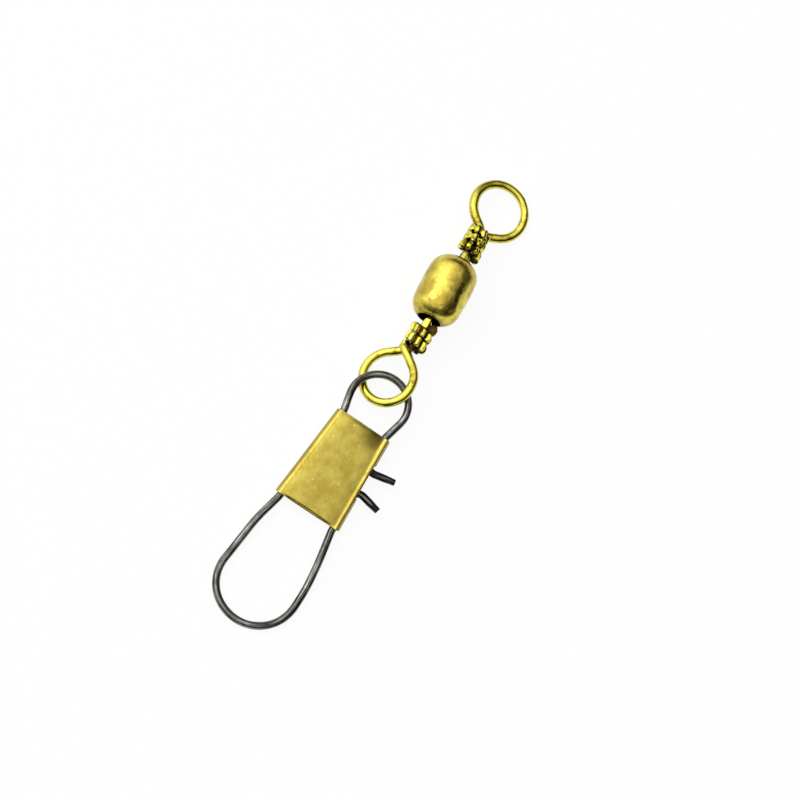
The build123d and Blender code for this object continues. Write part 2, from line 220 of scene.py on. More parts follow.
class Maker:
    """Adds nodes to one material."""

    def __init__(self, name):
        self.material = bpy.data.materials.new(name)
        self.material.use_nodes = True
        self.tree = self.material.node_tree
        self.shader = self.tree.nodes["Principled BSDF"]
        self.place = self.tree.nodes.new("ShaderNodeTexCoord").outputs["Object"]

    def link(self, a, b):
        self.tree.links.new(a, b)

    def noise(self, size, detail=2.0, rough=0.5, stretch=None):
        """Cloudy noise, its features this many millimetres across."""
        n = self.tree.nodes.new("ShaderNodeTexNoise")
        n.inputs["Scale"].default_value = 1000.0 / size
        n.inputs["Detail"].default_value = detail
        n.inputs["Roughness"].default_value = rough
        source = self.place
        if stretch:
            m = self.tree.nodes.new("ShaderNodeMapping")
            m.inputs["Scale"].default_value = stretch
            self.link(source, m.inputs["Vector"])
            source = m.outputs["Vector"]
        self.link(source, n.inputs["Vector"])
        return n.outputs["Fac"]

    def cells(self, size):
        """Distance to scattered points, about this many millimetres apart."""
        n = self.tree.nodes.new("ShaderNodeTexVoronoi")
        n.inputs["Scale"].default_value = 1000.0 / size
        self.link(self.place, n.inputs["Vector"])
        return n.outputs["Distance"]

    def painted_shade(self):
        """How much painted shade the mesh asks for at this place, 0 to 1."""
        n = self.tree.nodes.new("ShaderNodeAttribute")
        n.attribute_name = "painted_shade"
        return n.outputs["Fac"]

    def drawn(self, width, length, detail=2.0):
        """Streaks that run along a drawn wire, this wide and long in millimetres."""
        a = self.tree.nodes.new("ShaderNodeAttribute")
        a.attribute_name = "run"
        m = self.tree.nodes.new("ShaderNodeMapping")
        m.inputs["Scale"].default_value = (1 / length, 1 / width, 1 / width)
        self.link(a.outputs["Vector"], m.inputs["Vector"])
        n = self.tree.nodes.new("ShaderNodeTexNoise")
        n.inputs["Scale"].default_value = 1.0
        n.inputs["Detail"].default_value = detail
        self.link(m.outputs["Vector"], n.inputs["Vector"])
        return n.outputs["Fac"]

    def remap(self, value, low, high, to_low=0.0, to_high=1.0):
        """Takes low to to_low and high to to_high, smoothly between them."""
        n = self.tree.nodes.new("ShaderNodeMapRange")
        n.interpolation_type = "SMOOTHSTEP"
        n.inputs["From Min"].default_value = low
        n.inputs["From Max"].default_value = high
        n.inputs["To Min"].default_value = to_low
        n.inputs["To Max"].default_value = to_high
        self.link(value, n.inputs["Value"])
        return n.outputs["Result"]

    def math(self, kind, a, b):
        n = self.tree.nodes.new("ShaderNodeMath")
        n.operation = kind
        for socket, value in zip(n.inputs, (a, b)):
            if isinstance(value, float):
                socket.default_value = value
            else:
                self.link(value, socket)
        return n.outputs["Value"]

    def blend(self, share, a, b):
        n = self.tree.nodes.new("ShaderNodeMix")
        n.data_type = "RGBA"
        for key, value in (("A", a), ("B", b)):
            socket = [i for i in n.inputs if i.name == key and i.type == "RGBA"][0]
            if isinstance(value, tuple):
                socket.default_value = (*value, 1.0)
            else:
                self.link(value, socket)
        self.link(share, n.inputs["Factor"])
        return [o for o in n.outputs if o.type == "RGBA"][0]

    def bump(self, height, depth, below=None):
        """A surface disturbed by this many millimetres, on top of another such normal."""
        n = self.tree.nodes.new("ShaderNodeBump")
        n.inputs["Strength"].default_value = 1.0
        n.inputs["Distance"].default_value = depth * MM
        self.link(height, n.inputs["Height"])
        if below:
            self.link(below, n.inputs["Normal"])
        return n.outputs["Normal"]

    def finish(self, colour, roughness, normal):
        self.shader.inputs["Metallic"].default_value = 1.0
        self.link(colour, self.shader.inputs["Base Color"])
        self.link(roughness, self.shader.inputs["Roughness"])
        self.link(normal, self.shader.inputs["Normal"])
        return self.material


def eye_brass():
    """Bright drawn brass wire, with painted shade in the pressed coil's grooves, on the shank under the coil
    and on the cut end.
    """
    m = Maker("eye_brass")
    colour = m.blend(m.remap(m.noise(1.6, 3.0), 0.35, 0.7), rgb(218, 207, 82), rgb(200, 185, 66))
    colour = m.blend(m.remap(m.noise(0.8, 3.0, 0.6), 0.55, 0.70, 0.0, 0.7), colour, rgb(120, 98, 38))
    colour = m.blend(m.remap(m.drawn(0.10, 2.5), 0.5, 0.75, 0.0, 0.25), colour, rgb(120, 98, 40))
    # painted shade: where the mesh's shade mask is high, a dark brown is blended in
    colour = m.blend(m.painted_shade(), colour, rgb(52, 38, 15))
    rough = m.remap(m.drawn(0.12, 1.2, 3.0), 0.3, 0.75, 0.08, 0.24)
    rough = m.math("ADD", rough, m.math("MULTIPLY", m.painted_shade(), 0.3))
    normal = m.bump(m.drawn(0.09, 3.0), 0.010)
    normal = m.bump(m.noise(1.3, 1.0), 0.07, normal)
    return m.finish(colour, rough, normal)


def barrel_brass():
    """Tumbled satin brass with handling marks and a brownish cast in places."""
    m = Maker("barrel_brass")
    colour = m.blend(m.remap(m.noise(3.0, 3.0, 0.6), 0.42, 0.6), rgb(217, 205, 85), rgb(197, 175, 76))
    colour = m.blend(m.remap(m.noise(1.5, 4.0, 0.6), 0.46, 0.64, 0.0, 0.75), colour, rgb(162, 138, 50))
    colour = m.blend(m.remap(m.noise(0.5, 3.0, 0.7), 0.56, 0.74, 0.0, 0.6), colour, rgb(104, 82, 34))
    # painted shade: where the mesh's shade mask is high, a near-black brown is blended in
    colour = m.blend(m.painted_shade(), colour, rgb(40, 28, 12))
    rough = m.remap(m.noise(0.8, 4.0, 0.6), 0.3, 0.72, 0.20, 0.36)
    normal = m.bump(m.noise(0.12, 3.0), 0.005)
    normal = m.bump(m.noise(0.9, 2.0), 0.06, normal)
    return m.finish(colour, rough, normal)


def plate_brass():
    """Rolled brass sheet with a mottled, finely scratched face and a few pale flecks."""
    m = Maker("plate_brass")
    colour = m.blend(m.remap(m.noise(1.3, 5.0, 0.65), 0.36, 0.66), rgb(177, 161, 74), rgb(159, 140, 58))
    colour = m.blend(m.remap(m.noise(0.35, 4.0, 0.7), 0.54, 0.7, 0.0, 0.5), colour, rgb(146, 122, 52))
    flecks = m.remap(m.cells(0.7), 0.04, 0.20, 1.0, 0.0)
    flecks = m.math("MULTIPLY", flecks, m.remap(m.noise(1.7, 1.0), 0.46, 0.58))
    colour = m.blend(m.math("MULTIPLY", flecks, 0.4), colour, rgb(240, 226, 150))
    # painted shade: where the mesh's shade mask is high, a near-black brown is blended in
    colour = m.blend(m.painted_shade(), colour, rgb(46, 34, 14))
    rough = m.remap(m.noise(0.5, 4.0, 0.65), 0.3, 0.72, 0.24, 0.42)
    normal = m.bump(m.noise(0.14, 3.0, 0.6, (0.3, 1.0, 1.0)), 0.008)
    normal = m.bump(m.noise(1.5, 2.0), 0.03, normal)
    return m.finish(colour, rough, normal)


def snap_steel():
    """Dark drawn steel wire, faintly browned, with streaks along it."""
    m = Maker("snap_steel")
    colour = m.blend(m.remap(m.noise(1.5, 3.0), 0.35, 0.7), rgb(140, 139, 134), rgb(98, 97, 92))
    colour = m.blend(m.remap(m.noise(0.7, 3.0, 0.6), 0.52, 0.7, 0.0, 0.7), colour, rgb(80, 66, 56))
    colour = m.blend(m.remap(m.drawn(0.11, 2.6, 3.0), 0.44, 0.60, 0.0, 0.85), colour, rgb(36, 35, 31))
    # painted shade: the mesh's shade mask darkens the turned-out wire ends almost to black, broken up by
    # streaks along the wire
    dark = m.math("MULTIPLY", m.painted_shade(), m.remap(m.drawn(0.2, 1.6, 3.0), 0.40, 0.62, 1.0, 0.5))
    colour = m.blend(dark, colour, rgb(16, 14, 12))
    rough = m.remap(m.drawn(0.1, 1.0, 3.0), 0.3, 0.7, 0.12, 0.30)
    normal = m.bump(m.drawn(0.08, 2.5, 3.0), 0.014)
    normal = m.bump(m.noise(0.9, 2.0), 0.04, normal)
    return m.finish(colour, rough, normal)


BARREL_BRASS = barrel_brass()
EYE_BRASS = eye_brass()
PLATE_BRASS = plate_brass()
SNAP_STEEL = snap_steel()


# ---- eyes: one wire each, ring and coil, the coil pressed hard round with flutes ----
# x runs out along the shank, z stands across the ring

EYE_R = 0.40
EYE_SIDES = 28
EYE_STEP = 0.05                         # from point to point along the wire
EYE_CUT = 0.05                          # how far the cut ends are rounded
EYE_SHARP = 40                          # edges bent by more degrees than this are drawn sharp
SHANK_START = -1.9                      # the shank's inner end, in the barrel
NECK_BEND_R = 0.90                      # where the shank turns off into the ring
WRAP_R = 0.83                           # from the shank's middle to the middle of the turns round it
RING_RISE = 0.61 * WRAP_R
RING_ARCS = 6
TURN_ARCS = 8
PRESS_BLEND = 0.5                       # length of wire over which the pressing comes in
PRESS_SOFT = 0.08                       # how softly the pressed faces meet the round wire
SHANK_TOP = 0.33                        # the shank is flattened to this height under the coil
SHANK_SOFT = 0.05

# x: middle of the first turn. tail: cut length past the last turn. lead: how far the first turn runs ahead.
# over: 1 where the wrapping leg first passes over the shank, -1 where it first passes under.
Coil = namedtuple("Coil", "x pitch turns tail lead over")
# the aims are where the two legs' lines meet the shank's. lift: how far the ring's far side is raised.
Ring = namedtuple("Ring", "x side r shank_aim wrap_aim lift")
# after: wire left round past the crossing. The outer end is the ring's and the inner end the barrel's.
Press = namedtuple("Press", "after ridge_outer ridge_inner groove_outer groove_inner flutes turn waist")
# share of EYE_R, how much that swells on one side of the ring, and toward which angle.
Thick = namedtuple("Thick", "share swell swell_way")


def eye_frame(joint, roll=None, normal=None):
    """Place of an eye: x out along its shank from the barrel's end, z across its ring."""
    origin = Vector(joint["pos_m"])
    along = Vector(joint["axis"]).normalized()
    if normal is None:
        upward = (Vector((0, 0, 1)) - along * along.z).normalized()
        normal = upward * math.cos(roll) + along.cross(upward) * math.sin(roll)
    normal = Vector(normal).normalized()
    across = normal.cross(along)
    return Matrix.Translation(origin) @ Matrix((along, across, normal)).transposed().to_4x4()


def eye_path(coil, ring):
    """Middle line of an eye: shank, ring, and the turns wound back over the shank, or first under it."""
    over = coil.over
    first = touch_angle(ring.shank_aim, 0, ring.x, -ring.side, ring.r, over)
    last = touch_angle(ring.wrap_aim, 0, ring.x, -ring.side, ring.r, -over)
    if over > 0:
        first -= 2 * math.pi
        climb, first_arc = 1.4, -1
    else:
        last -= 2 * math.pi
        climb, first_arc = 3.0, -5
    corners = [(SHANK_START, 0, 0), (ring.shank_aim, 0, 0)]
    for k, (x, y) in enumerate(round_corners(ring.x, -ring.side, ring.r, first, last, RING_ARCS)):
        climbed = max(0.0, 2 * (k + 1) / RING_ARCS - 1) ** climb
        raised = ring.lift * smooth_step(2.0, -1.0, y) * smooth_step(3.6, 5.4, x)
        corners.append((x, y, over * RING_RISE * climbed + raised))
    arc = 2 * math.pi / TURN_ARCS
    coil_r = WRAP_R / math.cos(arc / 2)
    for k in range(first_arc, round(coil.turns * TURN_ARCS) + 1):
        a = arc * (k + 0.5)
        ahead = coil.lead * max(0.0, (1.5 - k) / 2.5) ** 1.5
        x = coil.x + ahead - coil.pitch * a / 2 / math.pi
        corners.append((x, -coil_r * math.sin(a), coil_r * math.cos(a)))
    end = Vector(corners[-2])
    way = (Vector(corners[-1]) - end).normalized()
    reach = (end - Vector(corners[-3])).length / 2
    corners[-1] = end + way * (reach + coil.tail)
    return bend(corners, [NECK_BEND_R] + [None] * (len(corners) - 3), EYE_STEP)


def soft_min(a, b, width):
    h = max(0.0, width - abs(a - b)) / width
    return min(a, b) - h * h * width / 4


def make_eye(name, place, coil, ring, press, thick):
    coil_end = coil.x - coil.pitch * coil.turns
    points = eye_path(coil, ring)
    crossing = next(p for p in points if p.z * coil.over > 0.75 * WRAP_R and p.y * coil.over < 0)
    begin = points.index(crossing) * EYE_STEP + press.after

    def flute(v):
        """1 in the middle of a groove left by the pressing die, 0 on a ridge."""
        slant = 0.16 * noise.noise(v * 0.55)
        t = abs((math.atan2(v.z, v.y) / 2 / math.pi * press.flutes + press.turn + slant) % 1 - 0.5)
        return smooth_step(0.38, 0.08, t)

    def radius_at(share, p):
        around = math.atan2(p.y + ring.side, p.x - ring.x)
        on_ring = smooth_step(coil.x + 0.6, ring.x - 0.8, p.x)
        swell = thick.swell * math.cos(around - thick.swell_way) * on_ring
        into = smooth_step(begin, begin + PRESS_BLEND, share * EYE_STEP * (len(points) - 1))
        thinned = into * (press.waist * flute(p) - 0.14 - 0.10 * noise.noise(p * 0.9))
        return EYE_R * (thick.share + swell + 0.03 * noise.noise(p * 0.6) - thinned)

    verts, faces, run = tube(points, radius_at, EYE_SIDES, EYE_CUT)
    painted_shade = []
    for k, v in enumerate(verts):
        v += Vector((0, noise.noise(v * 0.35), noise.noise(v * 0.35 + Vector((9, 0, 0))))) * 0.03
        rho = math.hypot(v.y, v.z)
        painted_dark = 0.0
        into = smooth_step(begin, begin + PRESS_BLEND, run[k][0])
        if into > 0:
            inward = min(1.0, max(0.0, (coil.x + 0.3 - v.x) / (coil.turns * coil.pitch)))
            ridge_drop = press.ridge_inner - press.ridge_outer
            groove_drop = press.groove_inner - press.groove_outer
            ridge = press.ridge_outer + ridge_drop * smooth_step(0.55, 1.0, inward)
            groove = press.groove_outer + groove_drop * smooth_step(0.45, 1.0, inward)
            ridge += 0.12 * noise.noise(v * 1.1)
            groove += 0.06 * noise.noise(v * 0.8 + Vector((3, 0, 0)))
            limit = ridge - (ridge - groove) * flute(v)
            pressed = soft_min(rho, limit, PRESS_SOFT)
            pressed = rho + (pressed - rho) * into
            v.y *= pressed / rho
            v.z *= pressed / rho
            # painted shade in the pressed coil's grooves, darkest where the wire is pressed furthest in
            painted_dark = smooth_step(ridge - 0.14, min(groove + 0.02, 0.93), pressed) * into
            # the cut end gets near-black painted shade
            if len(verts) - k <= EYE_SIDES + 1:                          # the cut face
                painted_dark = 1.0 if k < len(verts) - 1 else 0.95
        elif rho < EYE_R * 1.3 and v.x < coil.x:
            # painted shade on the shank where the coil covers it
            painted_dark = smooth_step(coil_end, coil_end + 0.25, v.x)
            v.z = soft_min(v.z, SHANK_TOP, SHANK_SOFT)
        painted_shade.append(painted_dark)
    make_object(name, verts, faces, place, name, name, EYE_BRASS, EYE_SHARP, painted_shade, run)


make_eye(
    "snap_eye", eye_frame(joints["snap_eye_spin"], roll=math.radians(18.71)),
    Coil(x=3.20, pitch=0.93, turns=2.75, tail=0.10, lead=0.70, over=1),
    Ring(x=6.33, side=0.52, r=2.38, shank_aim=3.10, wrap_aim=3.70, lift=0.0),
    Press(after=0.6, ridge_outer=1.16, ridge_inner=1.18, groove_outer=0.86, groove_inner=0.80,
          flutes=8, turn=0.68, waist=0.22),
    Thick(share=1.0, swell=0.03, swell_way=1.2),
)
make_eye(
    "line_eye", eye_frame(joints["line_eye_spin"], normal=mounts["line_eye"]["axis"]),
    Coil(x=3.22, pitch=0.95, turns=2.50, tail=0.25, lead=0.00, over=-1),
    Ring(x=6.58, side=0.50, r=2.54, shank_aim=3.80, wrap_aim=3.30, lift=0.15),
    Press(after=0.1, ridge_outer=1.12, ridge_inner=1.26, groove_outer=0.96, groove_inner=0.60,
          flutes=8, turn=0.68, waist=0.48),
    Thick(share=1.02, swell=0.10, swell_way=2.6),
)


# ---- snap wire: small loop, two straight runs, large loop, both ends turned out through the plate ----
# x runs from the plate's middle toward the small loop, z stands across the loops

SNAP_R = 0.35
SNAP_SIDES = 24
SNAP_STEP = 0.13
SNAP_CUT = 0.04
SNAP_SHARP = 50
SHEET_T = 0.20
PLATE_L = 9.42
PLATE_W_SMALL = 5.54
PLATE_W_LARGE = 6.66
HALF_L = PLATE_L / 2
FOLD_IN = SNAP_R + 0.02                 # from the wire's middle to the inside of the sheet
TAPER = (PLATE_W_LARGE - PLATE_W_SMALL) / 2 / PLATE_L
SMALL_R = 2.66
SMALL_X = HALF_L + SMALL_R - 0.18
LARGE_R = 3.74
LARGE_X = -HALF_L - 3.99 - LARGE_R
LOOP_ARCS = 5
KNEE_GAP = 0.02                         # past the plate, where each run bends for the small loop
KNEE_BEND_R = 0.9
ANKLE_GAP = 0.20                        # past the plate, where each run bends for the large loop
ANKLE_BEND_R = 3.0
SPINE_BOW_GAP = 2.6                     # past the plate, where the large loop's closed side bows out
SPINE_BOW = 0.20
GATE_BOW_GAP = 4.8                      # and where the side that opens does
GATE_BOW = 0.30
STUB_BEND_R = 0.70
STUB_L = 2.1
UPPER_STUB_X = 1.40
UPPER_STUB_LEAN = 11.5
LOWER_STUB_X = -0.46
LOWER_STUB_LEAN = -12.6


def run_y(x):
    """How far out the straight runs lie here: they follow the plate's taper."""
    return PLATE_W_SMALL / 2 - FOLD_IN - SHEET_T + (HALF_L - x) * TAPER


def snap_frame():
    joint = joints["snap_swing"]
    normal = Vector(joint["axis"]).normalized()
    along = Vector((normal.z, 0, -normal.x)).normalized()
    across = normal.cross(along)
    origin = Vector(joint["pos_m"]) - along * (SMALL_X * MM)
    return Matrix.Translation(origin) @ Matrix((along, across, normal)).transposed().to_4x4()


def stub(x, lean):
    """Bend and tip of one end of the wire, leaning this many degrees toward the small loop."""
    out = FOLD_IN + SHEET_T + STUB_L
    return (x, -run_y(x), 0), (x + out * math.tan(math.radians(lean)), -run_y(x) - out, 0)


def snap_points():
    knee_x = HALF_L + KNEE_GAP
    for _ in range(20):
        small = touch_angle(knee_x, run_y(knee_x), SMALL_X, 0, SMALL_R, -1)
        knee_x = HALF_L + KNEE_GAP + KNEE_BEND_R * math.tan((small - math.pi / 2 + math.atan(TAPER)) / 2)
    ankle_x = -HALF_L - ANKLE_GAP
    splay = math.tan(math.pi / 2 - touch_angle(ankle_x, run_y(ankle_x), LARGE_X, 0, LARGE_R, 1))
    spine_x = -HALF_L - SPINE_BOW_GAP
    spine_y = run_y(ankle_x) + (ankle_x - spine_x) * splay + SPINE_BOW
    gate_x = -HALF_L - GATE_BOW_GAP
    gate_y = -run_y(ankle_x) - (ankle_x - gate_x) * splay - GATE_BOW
    spine = touch_angle(spine_x, spine_y, LARGE_X, 0, LARGE_R, 1)
    gate = touch_angle(gate_x, gate_y, LARGE_X, 0, LARGE_R, -1) + 2 * math.pi
    upper_bend, upper_end = stub(UPPER_STUB_X, UPPER_STUB_LEAN)
    lower_bend, lower_end = stub(LOWER_STUB_X, LOWER_STUB_LEAN)
    corners = [upper_end, upper_bend, (knee_x, -run_y(knee_x), 0)]
    corners += [(x, y, 0) for x, y in round_corners(SMALL_X, 0, SMALL_R, -small, small, LOOP_ARCS)]
    corners += [(knee_x, run_y(knee_x), 0), (ankle_x, run_y(ankle_x), 0), (spine_x, spine_y, 0)]
    corners += [(x, y, 0) for x, y in round_corners(LARGE_X, 0, LARGE_R, spine, gate, LOOP_ARCS)]
    corners += [(gate_x, gate_y, 0), (ankle_x, -run_y(ankle_x), 0), lower_bend, lower_end]
    loop = [None] * LOOP_ARCS
    small_end = [STUB_BEND_R, KNEE_BEND_R, *loop, KNEE_BEND_R]
    return bend(corners, small_end + [ANKLE_BEND_R, None, *loop, None, ANKLE_BEND_R, STUB_BEND_R], SNAP_STEP)


def make_snap_wire(place):
    points = snap_points()
    length = SNAP_STEP * (len(points) - 1)

    def radius_at(share, p):
        end = min(share, 1 - share) * length
        drawn = SNAP_R - 0.05 * smooth_step(1.1, 0.0, end)
        return drawn * (1 + 0.02 * noise.noise(p * 0.5))

    # painted shade on the two turned-out ends, where they come out from under the plate
    def stub_painted_shade(v):
        return 0.95 * smooth_step(1.9, 2.9, -v.y) * smooth_step(-3.0, -2.0, v.x) * smooth_step(3.5, 2.5, v.x)

    for p in points:
        if abs(p.x) > HALF_L + 1.0:
            p += Vector((noise.noise(p * 0.3), noise.noise(p * 0.3 + Vector((5, 0, 0))), 0)) * 0.04
    verts, faces, run = tube(points, radius_at, SNAP_SIDES, SNAP_CUT)
    painted_shade = [stub_painted_shade(v) for v in verts]
    make_object(
        "snap_wire", verts, faces, place, "snap", "snap_wire",
        SNAP_STEEL, SNAP_SHARP, painted_shade, run,
    )


SNAP_PLACE = snap_frame()
make_snap_wire(SNAP_PLACE)


# ---- snap plate: one sheet with rounded creases, rolled round both runs of the wire ----

MID_R = FOLD_IN + SHEET_T / 2
SPINE_LIP = 1.1
SPINE_ROLL_END = math.radians(80.5)
GATE_LIP = 0.9
GATE_ROLL_END = math.radians(92.0)
GATE_CORNER = 0.11                      # how far the gate's roll stands out as a ridge
ROLL_COUNTS = (4, 6, 12)                # points up to the wire's ends, past them, and over the top
MIDDLE_COUNT = 40
WINDOW_MARGIN = 0.82                    # from each end of the wire to the end of the window cut for it
WINDOW = (LOWER_STUB_X - WINDOW_MARGIN, UPPER_STUB_X + WINDOW_MARGIN)
WINDOW_ROWS = range(10, 16)             # the window's faces, counted from the lip by the gate
END_SLANT = 0.36                        # how far the large loop's end leans, for each millimetre down
LARGE_ZONE = 0.4                        # close-set stations at the large loop's end
SMALL_ZONE = 0.5                        # and at the small loop's
RIM_ROUND = 0.045


def rolled(lip, last, corner):
    """Middle line of a rolled side from its lip to the roll's end: distance out from the wire, height."""
    line = [(-lip * (1 - k / 5), -MID_R) for k in range(5)]
    gap = math.asin((SNAP_R + 0.01) / MID_R)
    stops = [-math.pi / 2, -gap, gap, last]
    for (low, high), count in zip(zip(stops, stops[1:]), ROLL_COUNTS):
        for k in range(count):
            t = low + (high - low) * k / count
            r = MID_R + corner * math.sin(math.pi * smooth_step(math.radians(22), math.radians(98), t)) ** 2
            line.append((r * math.cos(t), r * math.sin(t)))
    return line


def middle_height(x, share):
    """Height of the sheet between the rolls, share 0 at the closed side and 1 in the valley by the gate."""
    deep = 0.14 + 0.04 * smooth_step(1.5, HALF_L, x)
    broad = 0.26
    rise = 0.12 * (1 - (1 - min(1.0, share / broad)) ** 2)
    fall = deep * max(0.0, (share - broad) / (1 - broad)) ** 1.6
    curl = 0.10 * smooth_step(HALF_L - 0.45, HALF_L, x) + 0.30 * smooth_step(0.35 - HALF_L, -HALF_L, x)
    return MID_R + rise - fall - curl * math.sin(math.pi * min(1.0, share * 1.02)) ** 0.5


def plate_stations():
    """Where along the plate its section is set out."""
    stations = [-HALF_L + LARGE_ZONE * k / 5 for k in range(5)]
    stations += [-HALF_L + LARGE_ZONE + (WINDOW[0] + HALF_L - LARGE_ZONE) * k / 12 for k in range(12)]
    stations += [WINDOW[0] + (WINDOW[1] - WINDOW[0]) * k / 14 for k in range(14)]
    stations += [WINDOW[1] + (HALF_L - SMALL_ZONE - WINDOW[1]) * k / 8 for k in range(8)]
    return stations + [HALF_L - SMALL_ZONE * (1 - k / 5) for k in range(6)]


def plate_row(x, spine, gate):
    """The sheet's middle line at one station, from the closed side's lip to the gate's."""
    y = run_y(x)
    foot = -y - gate[-1][0] + 0.06
    row = [Vector((x, y + out, z)) for out, z in spine]
    for k in range(MIDDLE_COUNT + 1):
        row.append(Vector((x, y + (foot - y) * k / MIDDLE_COUNT, middle_height(x, k / MIDDLE_COUNT))))
    row += [Vector((x, -y - out, z)) for out, z in reversed(gate)]
    valley = len(spine) + MIDDLE_COUNT
    for k in range(valley - 1, valley + 4):
        row[k].z = (row[k - 1].z + row[k].z * 2 + row[k + 1].z) / 4
    for p in row:
        p.x += END_SLANT * (MID_R - p.z) * smooth_step(1.5 - HALF_L, -HALF_L, x)
    return row


def plate_painted_shade(p):
    """Painted shade: darker on the sheared end face, in the corner by the small loop, along the crease by the
    gate and on the rolls' low flanks.
    """
    inward = p.y + run_y(p.x)
    sheared = smooth_step(0.24 - HALF_L, 0.06 - HALF_L, p.x)
    sheared *= smooth_step(1.0, 0.5, abs(p.y) / run_y(p.x) + 0.2)
    corner = smooth_step(2.2, 0.2, math.hypot((p.x - HALF_L) * 0.8, inward - 0.6))
    corner *= smooth_step(-0.12, 0.05, inward)
    crease = smooth_step(1.0, 0.10, inward) * smooth_step(-0.12, 0.0, inward)
    closed = 0.16 if p.y > 0 else 0.0
    flank = smooth_step(0.34, 0.10, p.z) * smooth_step(0.25, 0.38, abs(p.y) - run_y(p.x) - closed)
    return min(1.0, max(sheared, 0.85 * corner, 0.30 * crease, 0.85 * flank))


def make_plate(place):
    spine = rolled(SPINE_LIP, SPINE_ROLL_END, 0.0)
    gate = rolled(GATE_LIP, GATE_ROLL_END, GATE_CORNER)
    b = bmesh.new()
    rows = [[b.verts.new(p) for p in plate_row(x, spine, gate)] for x in plate_stations()]
    last = len(rows[0]) - 1
    for row, after in zip(rows, rows[1:]):
        for k in range(last):
            x = (row[k].co.x + after[k].co.x) / 2
            if last - k in WINDOW_ROWS and WINDOW[0] < x < WINDOW[1]:
                continue
            b.faces.new((row[k], after[k], after[k + 1], row[k + 1]))
    # the plate's painted shade, kept as a layer of the mesh
    shade_layer = b.verts.layers.float.new("painted_shade")
    for v in b.verts:
        p = v.co.copy()
        v[shade_layer] = plate_painted_shade(p)
        v.co.z += 0.012 * noise.noise(p * 0.45) + 0.006 * noise.noise(p * 1.4)
        v.co.y += 0.008 * noise.noise(p * 0.5 + Vector((0, 0, 7)))
    mesh = bpy.data.meshes.new("snap_plate")
    b.to_mesh(mesh)
    b.free()
    mesh.transform(Matrix.Scale(MM, 4))
    mesh.transform(place)
    mesh.update()
    for p in mesh.polygons:
        p.use_smooth = True
    piece = bpy.data.objects.new("snap_plate", mesh)
    bpy.context.scene.collection.objects.link(piece)
    mesh.materials.append(PLATE_BRASS)
    thick = piece.modifiers.new("sheet", "SOLIDIFY")
    thick.thickness = SHEET_T * MM
    thick.offset = 0.0
    thick.use_even_offset = True
    rim = piece.modifiers.new("edges", "BEVEL")
    rim.width = RIM_ROUND * MM
    rim.segments = 3
    rim.limit_method = "ANGLE"
    rim.angle_limit = math.radians(60)
    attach(piece, "snap")
    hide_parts("snap_plate")


make_plate(SNAP_PLACE)


# ---- barrel: a swaged tube, faintly dented ----

BARREL_L = 6.3
BARREL_R = 2.29
BARREL_WALL = 0.45
BARREL_TURN = math.radians(5.2)         # it lies at this angle to the snap
BARREL_SIDES = 96
BARREL_SHARP = 60
HOLE_R = 1.1
SHOULDER_R = 1.7
BELLY_R = 24.0
RIM_R = 0.03
DENT = 0.03
DENT_FINENESS = 0.42
RIPPLE = 0.010
RIPPLE_FINENESS = 1.5
RIM_END = 30                            # the outline's points up to here are the inside and the hole's rim


def barrel_frame():
    """Middle and axis of the barrel, the middle from its own node's box."""
    low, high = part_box("barrel")
    middle = (Vector(low) + Vector(high)) / 2
    along = Vector((math.cos(BARREL_TURN), math.sin(BARREL_TURN), 0))
    across = Vector((-math.sin(BARREL_TURN), math.cos(BARREL_TURN), 0))
    return Matrix.Translation(middle) @ Matrix((along, across, Vector((0, 0, 1)))).transposed().to_4x4()


def arc_points(middle, radius, first, last, count, which):
    """Chosen points of an arc that is cut into count steps from first to last."""
    turns = [first + (last - first) * k / count for k in which]
    return [middle + Vector((math.cos(a), math.sin(a))) * radius for a in turns]


def barrel_profile():
    """Half of the wall's outline, from the middle of the inside to the middle of the outside."""
    rim = Vector((-BARREL_L / 2, HOLE_R))
    belly = Vector((0, BARREL_R - BELLY_R))
    way = (belly - rim).normalized()
    between = (belly - rim).length
    along = (SHOULDER_R**2 - (BELLY_R - SHOULDER_R) ** 2 + between**2) / (2 * between)
    off = math.sqrt(SHOULDER_R**2 - along**2)
    shoulder = rim + way * along + Vector((-way.y, way.x)) * off
    joint_a = math.atan2(shoulder.y - belly.y, shoulder.x - belly.x)
    rim_a = math.atan2(rim.y - shoulder.y, rim.x - shoulder.x) % (2 * math.pi)
    inner_r = SHOULDER_R - BARREL_WALL
    inner_a = math.pi - math.asin((HOLE_R - shoulder.y) / inner_r)
    line = arc_points(belly, BELLY_R - BARREL_WALL, math.pi / 2, joint_a, 12, range(12))
    line += arc_points(shoulder, inner_r, joint_a, inner_a, 12, range(13))
    line.append(rim + Vector((0.12, 0)))
    for k in range(5):
        a = k / 4
        line.append(rim + Vector((RIM_R * (1 - a) ** 1.6, RIM_R * a**1.6)))
    line += arc_points(shoulder, SHOULDER_R, rim_a, joint_a, 18, range(1, 19))
    line += arc_points(belly, BELLY_R, joint_a, math.pi / 2, 14, range(1, 15))
    return line


